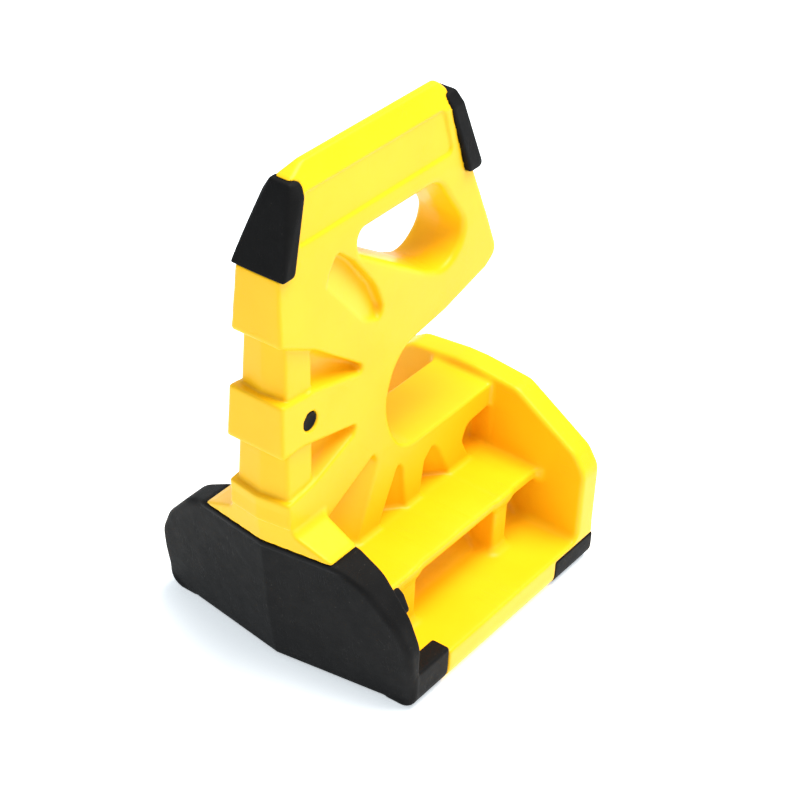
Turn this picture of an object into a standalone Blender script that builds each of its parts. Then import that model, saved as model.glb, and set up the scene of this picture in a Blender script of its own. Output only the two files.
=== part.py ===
"""Moulded plastic door wedge with rubber grip pads.

Frame: metres, +Z up, the underside rests on Z = 0, the object is mirror-symmetric about Y = 0 and
its long side runs along X. The rubber shoe is at -X, the open end of the door notch faces +X.
Sizes below are in millimetres and are turned into metres by MM.
"""
import math

import bmesh
import bpy
import numpy as np
from mathutils import Matrix

MM = 0.001

# overall sizes
WIDTH = 80.0            # across the base, Y
LENGTH = 94.8           # front pad to rear wall, X
HEIGHT = 140.8          # underside to the top edge of the handle
GAP = 0.3               # clearance between rubber and plastic

# base
BASE_HALF = WIDTH / 2
REAR_FACE = LENGTH / 2
REAR_WALL = 7.9         # thickness of the rear wall
FRONT_CREASE = 0.9 - LENGTH / 2
FRONT_WALL_BACK = FRONT_CREASE + 14.8
SLAB_TOP = 10.0         # top of the bottom plate
FOOT_ROUND = 4.5        # rounding of the long bottom edges
SHELF_TOP = 28.0
SHELF_BOTTOM = 24.8
SHELF_HALF = 26.0
WALL_TOP = 47.5         # top of both walls and of the plate between them
CHEVRON = 0.14          # how far the front falls back for each unit sideways,
PAD_CHEVRON = 0.02      # and the flatter front of the pad on the handle
WALL_STEP = 0.6         # the front wall lies this much behind the bands of the column
FACE_LEAN = 5.0         # how far the front face leans back down to LEAN_LOW,
LEAN_LOW = 13.0         # height where it turns in more steeply,
TOE_LEAN = 3.45         # and how far it leans back from there to just below the floor
BELOW = 1.0             # cutters reach this far below the floor

# column and hub
WEB_HALF = 9.3          # half thickness of the centre plate
PANEL_WEB_HALF = 3.2    # half thickness left between the pockets
BAND_STEP = 1.3         # how far the post lies inside the bands
POST_BACK = FRONT_CREASE + 11.8
LOWER_BAND_TOP = 55.9
MID_BAND_LOW = 70.0
MID_BAND_TOP = 84.6
HANDLE_LOW = 100.2
PLUG_RADIUS = 2.5
PLUG_X = FRONT_CREASE + 9.6
PLUG_Z = (MID_BAND_LOW + MID_BAND_TOP) / 2 - 1.5

# handle
HANDLE_TAPER_LOW = HEIGHT - 21.3
PAD_TOP = HEIGHT - 2.8
PAD_BOTTOM = PAD_TOP - 20.3
REAR_PAD_BOTTOM = PAD_TOP - 22.0
BEVEL_LOW = HEIGHT - 6.2
HANDLE_LEAN = 7.2       # how far the front of the handle leans back up to its bevel
HANDLE_LOW_HALF = 7.5   # half thickness at the bottom of the handle,
TAPER_HALF = 6.2        # at HANDLE_TAPER_LOW,
BEVEL_HALF = 4.7        # under its bevelled top
TOP_HALF = 0.9          # and at the top edge
PAD_PROUD_LOW = 0.9     # how far the handle pads stand out at their lower end
PAD_PROUD_TOP = 0.5     # and at their upper end
PAD_SIDE_PROUD = 1.7    # how far they stand out sideways at their lower end
PAD_DEEP = 1.2          # how deep they are let in
PAD_HIP = 2.2           # half width of the front pad's narrow upper end
PAD_FLARE = 0.75        # how fast the pad widens backwards from there
PANEL_DEEP = 0.5
SCOOP_DEEP = 2.4
HOLE_FLARE = 0.9        # the hole opens this much towards each face

# rubber shoe and feet
SHOE_THICK = 2.0
SHOE_TOP = 41.2
FOOT_THICK = 2.0
FOOT_LENGTH = 17.5
FOOT_TOP = 8.4
STRIP_INSET = 0.12      # strips lie this much inside the shoe's outer faces
EDGE_STRIP = 13.0       # length of the shoe's strips behind the front wall
EDGE_UNDER = 9.0        # how far strips and feet reach under the slab
LIP_THICK = 1.6
LIP_OVER = 3.4
PLUG_SUNK = 0.3

REACH = 90.0            # a length that passes right through the object


def start():
    """Empty the file and make the two collections."""
    for item in list(bpy.data.objects):
        bpy.data.objects.remove(item, do_unlink=True)
    made = []
    for name in ("door_wedge", "cutters"):
        group = bpy.data.collections.new(name)
        bpy.context.scene.collection.children.link(group)
        made.append(group)
    return made


PARTS, CUTTERS = start()


def material(name, colour, roughness):
    """A plain Principled material."""
    mat = bpy.data.materials.new(name)
    mat.use_nodes = True
    shader = mat.node_tree.nodes["Principled BSDF"]
    shader.inputs["Base Color"].default_value = (*colour, 1.0)
    shader.inputs["Roughness"].default_value = roughness
    shader.inputs["Metallic"].default_value = 0.0
    return mat


def as_object(name, mesh):
    """Put a mesh among the cutters; finish() moves a part out again."""
    made = bpy.data.objects.new(name, mesh)
    CUTTERS.objects.link(made)
    made.hide_render = True
    made.display_type = "WIRE"
    return made


def rounded(corners, steps=5):
    """Outline through corners (x, y, radius), each radius drawn as an arc."""
    points = []
    count = len(corners)
    for i in range(count):
        here = np.array(corners[i][:2], float)
        radius = corners[i][2] if len(corners[i]) > 2 else 0.0
        back = np.array(corners[i - 1][:2], float) - here
        ahead = np.array(corners[(i + 1) % count][:2], float) - here
        room = min(np.linalg.norm(back), np.linalg.norm(ahead)) * 0.49
        back /= np.linalg.norm(back)
        ahead /= np.linalg.norm(ahead)
        half = math.acos(np.clip(back @ ahead, -1, 1)) / 2
        if radius == 0 or half > 1.55:
            points.append(tuple(here))
            continue
        trim = min(radius / math.tan(half), room)
        radius = trim * math.tan(half)
        centre = here + (back + ahead) / np.linalg.norm(back + ahead) * radius / math.sin(half)
        first = here + back * trim - centre
        last = here + ahead * trim - centre
        turn = math.atan2(first[0] * last[1] - first[1] * last[0], first @ last)
        for k in range(steps + 1):
            a = turn * k / steps
            spot = (first[0] * math.cos(a) - first[1] * math.sin(a),
                    first[0] * math.sin(a) + first[1] * math.cos(a))
            points.append((centre[0] + spot[0], centre[1] + spot[1]))
    return points


def grown(corners, amount):
    """The same outline moved outwards by amount, corner radii kept."""
    xy = np.array([c[:2] for c in corners], float)
    area = sum(xy[i - 1][0] * xy[i][1] - xy[i][0] * xy[i - 1][1] for i in range(len(xy)))
    side = 1.0 if area > 0 else -1.0
    out = []
    for i in range(len(xy)):
        before = xy[i] - xy[i - 1]
        after = xy[(i + 1) % len(xy)] - xy[i]
        n1 = np.array([before[1], -before[0]]) / np.linalg.norm(before) * side
        n2 = np.array([after[1], -after[0]]) / np.linalg.norm(after) * side
        move = (n1 + n2) / (1 + n1 @ n2)
        out.append((*(xy[i] + move * amount), corners[i][2] if len(corners[i]) > 2 else 0.0))
    return out


def mirrored(half_outline):
    """Close an outline given for y >= 0, bottom to top, by its mirror image."""
    other = [(-c[0], *c[1:]) for c in reversed(half_outline)]
    return list(half_outline) + other


def prism(name, corners, axis, low, high):
    """Outline extruded along an axis: Y takes (x, z), X takes (y, z), Z takes (x, y)."""
    curve = bpy.data.curves.new(name, "CURVE")
    curve.dimensions = "2D"
    curve.fill_mode = "BOTH"
    curve.extrude = (high - low) / 2 * MM
    points = rounded(corners)
    line = curve.splines.new("POLY")
    line.points.add(len(points) - 1)
    for spot, (a, b) in zip(line.points, points):
        spot.co = (a * MM, b * MM, 0.0, 1.0)
    line.use_cyclic_u = True
    holder = bpy.data.objects.new(name, curve)
    CUTTERS.objects.link(holder)
    bpy.context.view_layer.update()
    mesh = bpy.data.meshes.new_from_object(holder)
    middle = (high + low) / 2 * MM
    turn = {"Z": Matrix.Identity(4),
            "Y": Matrix(((1, 0, 0, 0), (0, 0, -1, 0), (0, 1, 0, 0), (0, 0, 0, 1))),
            "X": Matrix(((0, 0, 1, 0), (1, 0, 0, 0), (0, 1, 0, 0), (0, 0, 0, 1)))}[axis]
    shift = {"X": (middle, 0, 0), "Y": (0, middle, 0), "Z": (0, 0, middle)}[axis]
    mesh.transform(Matrix.Translation(shift) @ turn)
    bpy.data.objects.remove(holder, do_unlink=True)
    tidy(mesh)
    return as_object(name, mesh)


def tidy(mesh):
    """Join the seams left by a curve and turn all faces outwards."""
    work = bmesh.new()
    work.from_mesh(mesh)
    bmesh.ops.remove_doubles(work, verts=work.verts, dist=1e-6)
    bmesh.ops.recalc_face_normals(work, faces=work.faces)
    work.to_mesh(mesh)
    work.free()


def loft(name, rings):
    """Solid through closed rings of equal count, capped at both ends."""
    work = bmesh.new()
    rows = [[work.verts.new([c * MM for c in spot]) for spot in ring] for ring in rings]
    count = len(rows[0])
    for lower, upper in zip(rows, rows[1:]):
        for i in range(count):
            j = (i + 1) % count
            work.faces.new((lower[i], lower[j], upper[j], upper[i]))
    work.faces.new(rows[0])
    work.faces.new(rows[-1])
    bmesh.ops.recalc_face_normals(work, faces=work.faces)
    mesh = bpy.data.meshes.new(name)
    work.to_mesh(mesh)
    work.free()
    return as_object(name, mesh)


def chevron(name, profile, slope=CHEVRON):
    """Profile in (x, z) carried sideways while sliding back, so its front has a centre crease."""
    points = rounded(profile)
    rings = []
    for side in (-1.0, 0.0, 1.0):
        half = side * (BASE_HALF + 10)
        slide = abs(half) * slope
        rings.append([(x + slide, half, z) for x, z in points])
    return loft(name, rings)


def box(name, x, y, z):
    """A plain block between the given limits."""
    work = bmesh.new()
    bmesh.ops.create_cube(work, size=1.0)
    mesh = bpy.data.meshes.new(name)
    work.to_mesh(mesh)
    work.free()
    sizes = [(pair[1] - pair[0]) * MM for pair in (x, y, z)]
    middles = [(pair[1] + pair[0]) / 2 * MM for pair in (x, y, z)]
    mesh.transform(Matrix.Translation(middles) @ Matrix.Diagonal((*sizes, 1.0)))
    return as_object(name, mesh)


def combine(target, *tools, how):
    """Apply exact Booleans in turn and keep the result as a plain mesh."""
    for tool in tools:
        step = target.modifiers.new("step", "BOOLEAN")
        step.operation = how
        step.solver = "EXACT"
        step.object = tool
        bpy.context.view_layer.update()
        result = bpy.data.meshes.new_from_object(target.evaluated_get(bpy.context.evaluated_depsgraph_get()))
        target.modifiers.clear()
        target.data = result
        tidy(target.data)
        bpy.data.objects.remove(tool, do_unlink=True)
    return target


def cut(target, *tools):
    return combine(target, *tools, how="DIFFERENCE")


def join(target, *tools):
    return combine(target, *tools, how="UNION")


def common(target, *tools):
    return combine(target, *tools, how="INTERSECT")


# ---------------------------------------------------------------- outlines

def side_outline():
    """Handle, neck, hub and centre plate seen from the side, (x, z, radius)."""
    front = FRONT_CREASE
    rear_in = REAR_FACE - REAR_WALL + 2
    return [
        (front - 0.8, 6, 0), (front - 0.8, HANDLE_TAPER_LOW - 1, 3), (front + HANDLE_LEAN, BEVEL_LOW + 3.4, 2),
        (front + 14, HEIGHT, 2), (18.6, HEIGHT, 2), (21.8, BEVEL_LOW + 2.4, 2),
        (27.8, HEIGHT - 24.8, 4), (39.3, 88.2, 4.5), (34.5, 85.0, 3), (17, 80.6, 6),
        (-2.2, 78.0, 14), (-7.6, 66, 20), (-5.6, 56, 20), (0.5, WALL_TOP, 12),
        (rear_in, WALL_TOP, 0), (rear_in, 6, 0)]


def thickness_outline(grow=0.0):
    """Front view of column and handle, (y, z, radius): thick below, a roof-shaped top."""
    half = [(WEB_HALF, 5, 0), (WEB_HALF, 52, 20), (HANDLE_LOW_HALF, HANDLE_LOW, 20),
            (TAPER_HALF, HANDLE_TAPER_LOW, 20), (BEVEL_HALF, BEVEL_LOW, 1.5), (TOP_HALF, HEIGHT, 0.6)]
    half = grown(mirrored(half), grow)[:len(half)]
    eave, ridge = half[-2], half[-1]
    if ridge[0] < 0.4:
        share = (eave[0] - 0.4) / (eave[0] - ridge[0])
        half[-1] = (0.4, eave[1] + share * (ridge[1] - eave[1]), 0)
    return mirrored(half)


def front_wall_outline():
    """Arch of the front wall above the slab, (y, z, radius)."""
    return [(BASE_HALF, 20, 10), (36.5, 27.5, 12), (28, 37.4, 10), (8.0, WALL_TOP, 5)]


def shoe_outline(grow=0.0):
    """Arch of the front wall with the rounded bottom edges of the slab."""
    return grown(mirrored([(BASE_HALF, 0, FOOT_ROUND)] + front_wall_outline()), grow)


def rear_wall_outline():
    """Arch of the rear wall above the slab with its low crest, (y, z, radius)."""
    return [(BASE_HALF, 31, 6), (36.6, 36.2, 6), (17, WALL_TOP + 1.3, 6), (3, WALL_TOP + 2.7, 12)]


def slab_outline(grow=0.0):
    half = [(BASE_HALF, 0, FOOT_ROUND), (BASE_HALF, SLAB_TOP, 0.8)]
    return grown(mirrored(half), grow)


def front_profile(inset=0.0):
    """Front seen from the side: column, step, wall leaning in, then a steeper lower facet."""
    crease = FRONT_CREASE + inset
    wall = crease + WALL_STEP
    step = WALL_TOP + 1.2
    fold = wall + FACE_LEAN
    return [(crease, 2 * REACH), (crease, step), (wall, step), (fold, LEAN_LOW), (fold + TOE_LEAN, -BELOW),
            (REACH, -BELOW), (REACH, 2 * REACH)]


def hole_outline(grow=0.0):
    """Finger hole: a rounded triangle, (x, z, radius)."""
    return grown([(-17.2, 117.2, 2.6), (13.6, 117.2, 6), (25.6, 100.0, 10), (17.2, 92.4, 9),
                  (8.5, 96.2, 12), (-17.2, 112.2, 2.6)], grow)


def panel_outline():
    """Plain recessed panel under the bevelled top of the handle, (x, z, radius)."""
    low = HEIGHT - 17.6
    high = BEVEL_LOW + 0.2
    return [(-40.4, low, 1.5), (19.6, low, 1.5), (16.8, high, 1.5), (-36.0, high, 1.5)]


def scoop_outline():
    """Shallow three-cornered scoop in front of the finger hole."""
    return [(-25.6, 116.0, 1.5), (-19.6, 111.0, 12), (-11.6, 101.0, 14), (-8.8, 94.0, 3), (-10.2, 91.0, 2.5),
            (-16.9, 93.0, 6), (-31.2, 109.0, 2)]


def band_half(height):
    """Half thickness of the column at a height between the plate and the handle."""
    share = (height - 52) / (100 - 52)
    return WEB_HALF + (HANDLE_LOW_HALF - WEB_HALF) * share


# ---------------------------------------------------------------- solids

def front_block(name, grow, inset, back=FRONT_WALL_BACK):
    """Front wall of the base as a solid, optionally smaller all round."""
    block = prism(name, shoe_outline(grow), "X", FRONT_CREASE - 3, back)
    return common(block, chevron(name + "_face", front_profile(inset)))


def side_solid(name, grow):
    """Column, hub and handle as one tapered solid, moved outwards by grow."""
    solid = prism(name, grown(side_outline(), grow), "Y", -20, 20)
    return common(solid, prism(name + "_taper", thickness_outline(grow), "X", -REACH, REACH))


def handle_solid(name, grow):
    """The same with its creased front."""
    solid = side_solid(name, grow)
    upright = [(FRONT_CREASE - grow, -5), (FRONT_CREASE - grow, 2 * REACH), (REACH, 2 * REACH), (REACH, -5)]
    return common(solid, chevron(name + "_crease", upright))


def windows():
    """All the side pockets and the steps between the bands, as one cutter."""
    front = FRONT_CREASE - 14
    hub = FRONT_CREASE + 30
    upper = [(front, HANDLE_LOW), (FRONT_CREASE, HANDLE_LOW), (POST_BACK, 94.3, 8), (hub - 0.2, 80.6, 1.5),
             (hub - 0.8, 78.2, 1.5), (POST_BACK, 82.0, 10), (FRONT_CREASE, MID_BAND_TOP), (front, MID_BAND_TOP)]
    lower = [(front, MID_BAND_LOW), (FRONT_CREASE + 7, MID_BAND_LOW, 8), (hub - 2.5, 65.6, 1.2),
             (hub - 3.4, 62.4, 1.2), (POST_BACK, 58.0, 10), (FRONT_CREASE, LOWER_BAND_TOP),
             (front, LOWER_BAND_TOP)]
    floor = SHELF_TOP + 0.4
    pockets = [
        [(-12.2, 52.8, 1), (-9.6, 49.6, 1), (-17, floor, 1), (-29.8, floor, 1), (-29.8, 43.5, 2), (-27.5, 45, 3)],
        [(-1.4, 44.0, 1), (1.2, 41.6, 1.5), (3.2, floor, 1), (-8.8, floor, 1)],
        [(13.7, 41.6, 1.5), (10.4, 38.4, 2), (9.0, floor, 1), (22.4, floor, 1), (16.4, 39.6, 2)],
        [(29.3, 39.6, 3), (39.2, 40.6, 1), (39.2, floor, 1), (31.2, floor, 3), (27.4, 35.2, 2)]]
    tool = prism("windows", upper, "Y", -20, 20)
    join(tool, prism("lower_window", lower, "Y", -20, 20))
    for number, outline in enumerate(pockets):
        join(tool, prism("pocket_%d" % number, outline, "Y", -WEB_HALF - 0.2, WEB_HALF + 0.2))
    keep = prism("post", thickness_outline(-BAND_STEP), "X", FRONT_CREASE - 14, POST_BACK)
    upright = [(FRONT_CREASE + BAND_STEP, -5), (FRONT_CREASE + BAND_STEP, 2 * REACH), (REACH, 2 * REACH),
               (REACH, -5)]
    common(keep, chevron("post_crease", upright))
    web = box("pocket_web", (FRONT_CREASE + BAND_STEP + 3, REACH), (-PANEL_WEB_HALF, PANEL_WEB_HALF),
              (20, 110))
    return cut(tool, keep, web)


def finger_hole():
    """Through hole, flared towards both faces."""
    rings = []
    for depth, grow in ((-20, HOLE_FLARE + 1.5), (-6.8, HOLE_FLARE), (-4.8, 0.0),
                        (4.8, 0.0), (6.8, HOLE_FLARE), (20, HOLE_FLARE + 1.5)):
        rings.append([(x, depth, z) for x, z in rounded(hole_outline(grow), 6)])
    return loft("finger_hole", rings)


def face_recess(name, outline, depth):
    """A pair of shallow recesses, one in each side face of the handle."""
    tool = prism(name, outline, "Y", -20, 20)
    return cut(tool, prism(name + "_core", thickness_outline(-depth), "X", -REACH, REACH))


def shelves():
    """Block under the centre plate with a shelf on each side and open bays below it."""
    half = [(SHELF_HALF, SHELF_BOTTOM, 1.0), (SHELF_HALF, SHELF_TOP, 1.4)]
    inner = FRONT_WALL_BACK - 5
    rear = REAR_FACE - REAR_WALL + 2
    made = prism("shelf", mirrored(half), "X", inner, rear)
    core = [(19, 5, 0), (19, SLAB_TOP, 2), (13.5, 17, 6), (12.0, SHELF_TOP - 1, 0)]
    join(made, prism("core", mirrored(core), "X", inner - 0.5, rear + 0.5))
    rib = [(SHELF_HALF - 0.8, 5, 0), (SHELF_HALF - 0.2, SHELF_TOP - 1.5, 0)]
    for number, (low, high) in enumerate(((inner - 1, -13.9), (20.4, 26.7))):
        join(made, prism("rib_%d" % number, mirrored(rib), "X", low, high))
    return made


def plug_bar(name, radius, half):
    """Round bar along Y through the middle band."""
    work = bmesh.new()
    bmesh.ops.create_cone(work, cap_ends=True, segments=32, radius1=radius * MM, radius2=radius * MM,
                          depth=2 * half * MM)
    mesh = bpy.data.meshes.new(name)
    work.to_mesh(mesh)
    work.free()
    mesh.transform(Matrix.Translation((PLUG_X * MM, 0, PLUG_Z * MM)) @ Matrix.Rotation(math.pi / 2, 4, "X"))
    return as_object(name, mesh)


# ---------------------------------------------------------------- rubber

def pad_side(rear, extra=0.0):
    """Side view of a handle pad, (x, z, radius); a seat takes the same outline grown by extra."""
    if rear:
        return grown([(24.4, REAR_PAD_BOTTOM, 1.2), (30.0, REAR_PAD_BOTTOM, 1.2), (23.2, PAD_TOP, 1.2),
                      (18.4, PAD_TOP, 1.2)], extra)
    low = FRONT_CREASE - PAD_PROUD_LOW
    high = FRONT_CREASE + HANDLE_LEAN - PAD_PROUD_TOP
    return grown([(low, PAD_BOTTOM, 0), (low + 4.4, PAD_BOTTOM, 1.2), (high + 4.4, PAD_TOP, 1.2),
                  (high, PAD_TOP, 0.8)], extra)


def pad_front():
    """Front view of the handle pads, (y, z, radius): they stand out less and less upwards."""
    low = TAPER_HALF + PAD_SIDE_PROUD
    eave = BEVEL_HALF + PAD_PROUD_TOP
    return mirrored([(low, REAR_PAD_BOTTOM - 2, 0), (low, PAD_BOTTOM, 10), (eave, BEVEL_LOW, 2),
                     (TOP_HALF + PAD_PROUD_TOP, HEIGHT, 0)])


def hip(name):
    """Space that lets the front pad narrow to PAD_HIP at its top and widen backwards."""
    rings = []
    reach = 14.0
    for half, front, height in ((TAPER_HALF + PAD_SIDE_PROUD, FRONT_CREASE - PAD_PROUD_LOW - 1, PAD_BOTTOM - 1),
                                (PAD_HIP, FRONT_CREASE + HANDLE_LEAN - PAD_PROUD_TOP, PAD_TOP + 1)):
        wide = half + PAD_FLARE * reach
        rings.append([(front - 2, -half, height), (front - 2, half, height), (front, half, height),
                      (front + reach, wide, height), (front + reach, -wide, height), (front, -half, height)])
    return loft(name, rings)


def handle_pad(name, rear):
    """Rubber skin over one edge of the handle."""
    profile = pad_side(rear)
    pad = prism(name, profile, "Y", -20, 20) if rear else chevron(name, profile, PAD_CHEVRON)
    common(pad, prism(name + "_front", pad_front(), "X", -REACH, REACH))
    if not rear:
        common(pad, hip(name + "_hip"))
    return cut(pad, handle_solid(name + "_core", -PAD_DEEP))


def handle_seat(name, rear):
    """Rebate under a handle pad."""
    profile = pad_side(rear, GAP)
    seat = prism(name, profile, "Y", -20, 20) if rear else chevron(name, profile, PAD_CHEVRON)
    return cut(seat, handle_solid(name + "_core", -PAD_DEEP - GAP))


def edge_angle(name, side, x_range, lip):
    """Angle section that wraps one long bottom edge of the slab, some with a lip over its top."""
    outer = BASE_HALF
    inner = outer - EDGE_UNDER
    wall = outer - FOOT_THICK
    section = [(inner, 0, 0), (outer, 0, FOOT_ROUND)]
    if lip:
        top = SLAB_TOP + LIP_THICK
        section += [(outer, top, 0.8), (wall - LIP_OVER, top, 0.6), (wall - LIP_OVER, SLAB_TOP + GAP, 0),
                    (wall, SLAB_TOP + GAP, 0)]
    else:
        section += [(outer, FOOT_TOP, 0.6), (wall, FOOT_TOP, 0)]
    section += [(wall, FOOT_THICK, FOOT_ROUND - FOOT_THICK), (inner, FOOT_THICK, 0)]
    if side < 0:
        section = [(-c[0], *c[1:]) for c in section]
    if lip:
        section = grown(section, -STRIP_INSET)
    return prism(name, section, "X", *x_range)


def edge_seat(name, side, x_range, lip):
    """Rebate in the slab for an edge strip or a foot."""
    far = BASE_HALF + 5
    inner = BASE_HALF - EDGE_UNDER - GAP
    wall = BASE_HALF - FOOT_THICK - GAP
    top = SLAB_TOP + 5 if lip else FOOT_TOP + GAP
    section = [(inner, -5, 0), (far, -5, 0), (far, top, 0), (wall, top, 0),
               (wall, FOOT_THICK + GAP, FOOT_ROUND - FOOT_THICK), (inner, FOOT_THICK + GAP, 0)]
    if side < 0:
        section = [(-c[0], *c[1:]) for c in section]
    return prism(name, section, "X", *x_range)


def front_shoe():
    """Shell over the front wall, with a strip along each bottom edge."""
    shoe = front_block("front_shoe", 0.0, 0.0)
    common(shoe, box("shoe_zone", (-REACH, REACH), (-REACH, REACH), (-REACH, SHOE_TOP)))
    cut(shoe, front_block("shoe_core", -SHOE_THICK, SHOE_THICK, FRONT_WALL_BACK + 5))
    wall = BASE_HALF - FOOT_THICK
    for side in (1, -1):
        strip = edge_angle("strip", side, (FRONT_WALL_BACK - 1, FRONT_WALL_BACK + EDGE_STRIP), True)
        cut(strip, box("rim_room", (-REACH, FRONT_WALL_BACK + GAP), (-wall, wall), (-5, REACH)))
        join(shoe, strip)
    return shoe


def shoe_seat():
    """What the shoe takes out of the plastic, gap included."""
    seat = box("shoe_seat", (-REACH, FRONT_WALL_BACK + GAP), (-REACH, REACH), (-REACH, SHOE_TOP + GAP))
    return cut(seat, front_block("seat_core", -SHOE_THICK - GAP, SHOE_THICK + GAP, FRONT_WALL_BACK + 5))


# ---------------------------------------------------------------- assembly

def wedge_body():
    """The single plastic moulding."""
    foot = [(BASE_HALF, SLAB_TOP - 2, 0)]
    body = prism("wedge_body", slab_outline(), "X", FRONT_CREASE - 3, REAR_FACE)
    join(body, prism("front_wall", mirrored(foot + front_wall_outline()), "X", FRONT_CREASE - 3, FRONT_WALL_BACK))
    join(body, prism("rear_wall", mirrored(foot + rear_wall_outline()), "X", REAR_FACE - REAR_WALL, REAR_FACE))
    join(body, side_solid("column", 0.0), shelves())
    common(body, chevron("front_face", front_profile()))
    cut(body, windows(), finger_hole())
    cut(body, face_recess("panel", panel_outline(), PANEL_DEEP))
    cut(body, face_recess("scoop", scoop_outline(), SCOOP_DEEP))
    cut(body, shoe_seat(), handle_seat("front_pad_seat", False), handle_seat("rear_pad_seat", True))
    cut(body, plug_bar("plug_hole", PLUG_RADIUS + GAP, 20))
    for side in (1, -1):
        cut(body, edge_seat("strip_seat", side, (FRONT_WALL_BACK - 1, FRONT_WALL_BACK + EDGE_STRIP + GAP), True))
        cut(body, edge_seat("foot_seat", side, (REAR_FACE - FOOT_LENGTH - GAP, REACH), False))
    return body


def finish(item, name, mat):
    """Name a part, give it its material and show it among the parts."""
    CUTTERS.objects.unlink(item)
    PARTS.objects.link(item)
    item.name = name
    item.data.name = name
    item.hide_render = False
    item.display_type = "TEXTURED"
    item.data.materials.clear()
    item.data.materials.append(mat)
    item.data.shade_smooth()
    item.data.set_sharp_from_angle(angle=math.radians(32))


def build():
    """Make all seven pieces."""
    yellow = material("yellow_plastic", (0.93, 0.60, 0.035), 0.38)
    finish(wedge_body(), "wedge_body", yellow)
    finish(front_shoe(), "front_shoe", material("shoe_rubber", (0.022, 0.020, 0.021), 0.72))
    for side, name in ((1, "rear_foot_left"), (-1, "rear_foot_right")):
        foot = edge_angle(name, side, (REAR_FACE - FOOT_LENGTH, REAR_FACE), False)
        finish(foot, name, material(name + "_rubber", (0.024, 0.022, 0.023), 0.75))
    for rear, name in ((False, "handle_front_pad"), (True, "handle_rear_pad")):
        finish(handle_pad(name, rear), name, material(name + "_rubber", (0.018, 0.017, 0.018), 0.68))
    half = band_half(PLUG_Z) - PLUG_SUNK
    plug_black = material("plug_rubber", (0.015, 0.015, 0.016), 0.6)
    finish(plug_bar("plug", PLUG_RADIUS, half), "column_plug", plug_black)


build()
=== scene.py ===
import math

import bpy
import numpy as np
from mathutils import Matrix, Vector


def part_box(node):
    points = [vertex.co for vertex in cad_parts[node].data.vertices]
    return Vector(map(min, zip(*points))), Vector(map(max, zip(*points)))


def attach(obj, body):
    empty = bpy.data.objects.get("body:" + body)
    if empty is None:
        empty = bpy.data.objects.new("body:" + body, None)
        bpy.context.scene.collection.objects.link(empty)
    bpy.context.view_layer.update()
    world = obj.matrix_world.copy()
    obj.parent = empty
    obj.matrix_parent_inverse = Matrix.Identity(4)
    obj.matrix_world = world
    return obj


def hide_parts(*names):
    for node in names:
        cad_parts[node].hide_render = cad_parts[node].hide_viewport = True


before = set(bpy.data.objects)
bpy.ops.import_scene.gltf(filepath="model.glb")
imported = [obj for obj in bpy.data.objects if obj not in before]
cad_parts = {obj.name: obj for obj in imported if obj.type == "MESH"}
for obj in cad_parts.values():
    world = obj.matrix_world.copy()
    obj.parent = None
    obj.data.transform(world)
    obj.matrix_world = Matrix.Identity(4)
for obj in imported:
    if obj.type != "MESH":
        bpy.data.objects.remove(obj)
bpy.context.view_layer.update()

# Looks of a moulded door wedge: one yellow plastic moulding with black rubber on its edges.
# Shapes are worked out in millimetres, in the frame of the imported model, and turned into metres
# at the end. The object is mirror-symmetric about Y = 0, so solids are described for y >= 0.

MM = 0.001


def span(node):
    """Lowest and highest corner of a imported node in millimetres."""
    low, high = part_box(node)
    return np.array(low) / MM, np.array(high) / MM


# ---------------------------------------------------------------- sizes

BODY_LOW, BODY_HIGH = span("wedge_body")
SHOE_LOW, SHOE_HIGH = span("front_shoe")
FOOT_LOW, FOOT_HIGH = span("rear_foot_left")
PAD_LOW = span("handle_front_pad")[0]
REAR_PAD_LOW = span("handle_rear_pad")[0]
PLUG_LOW, PLUG_HIGH = span("column_plug")

BASE_HALF = BODY_HIGH[1]
REAR_FACE = BODY_HIGH[0]
HEIGHT = BODY_HIGH[2]
CREASE = BODY_LOW[0]    # front edge of the column, where its two front faces meet

# Base: slab, front and rear wall, shelves
SLAB_TOP = 10.0
FOOT_ROUND = 4.5
WALL_BACK = CREASE + 14.8
WALL_TOP = 47.5
REAR_WALL = 7.9
CHEVRON = 0.14          # how far the front slides back for each unit sideways
WALL_STEP = 0.6         # the wall stands this far behind the column
FACE_LEAN = 5.0         # how far the wall leans back from its top down to LEAN_LOW
LEAN_LOW = 13.0
TOE_LEAN = 3.45         # and how much further down to 1 below the floor
SHELF_TOP = 28.0
SHELF_BOTTOM = 24.8
SHELF_HALF = 26.0
RIB_INSET = 0.5         # the ribs under a shelf end this far inside its edge
CORE_HALF = 12.0
CORE_FOOT_HALF = 19

# Column and its bands
COLUMN_HALF = 9.3
WEB_HALF = 3.2          # the web left between the pockets of both sides
BAND_STEP = 1.3
WEB_FRONT = CREASE + BAND_STEP + 3
POST_BACK = CREASE + 11.8
LOWER_BAND_TOP = 55.9
MID_BAND_LOW = 70.0
MID_BAND_TOP = 84.6
PLUG_AT = (PLUG_LOW + PLUG_HIGH) / 2
PLUG_RADIUS = (PLUG_HIGH[0] - PLUG_LOW[0]) / 2

# Handle, which narrows upwards and ends in a bevelled top
HANDLE_LOW = 100.2
HANDLE_LOW_HALF = 7.5
TAPER_LOW = 119.5
TAPER_HALF = 6.2
BEVEL_LOW = HEIGHT - 6.2
BEVEL_HALF = 4.7
TOP_HALF = 0.9
HOLE_TOP = 117.2
HOLE_FLARE = 0.08
PANEL_LOW = HEIGHT - 17.6
PANEL_HIGH = BEVEL_LOW + 0.2
PANEL_DEEP = 0.6
SCOOP_DEEP = 3.6
SCOOP_SLOPE = 0.36

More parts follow.
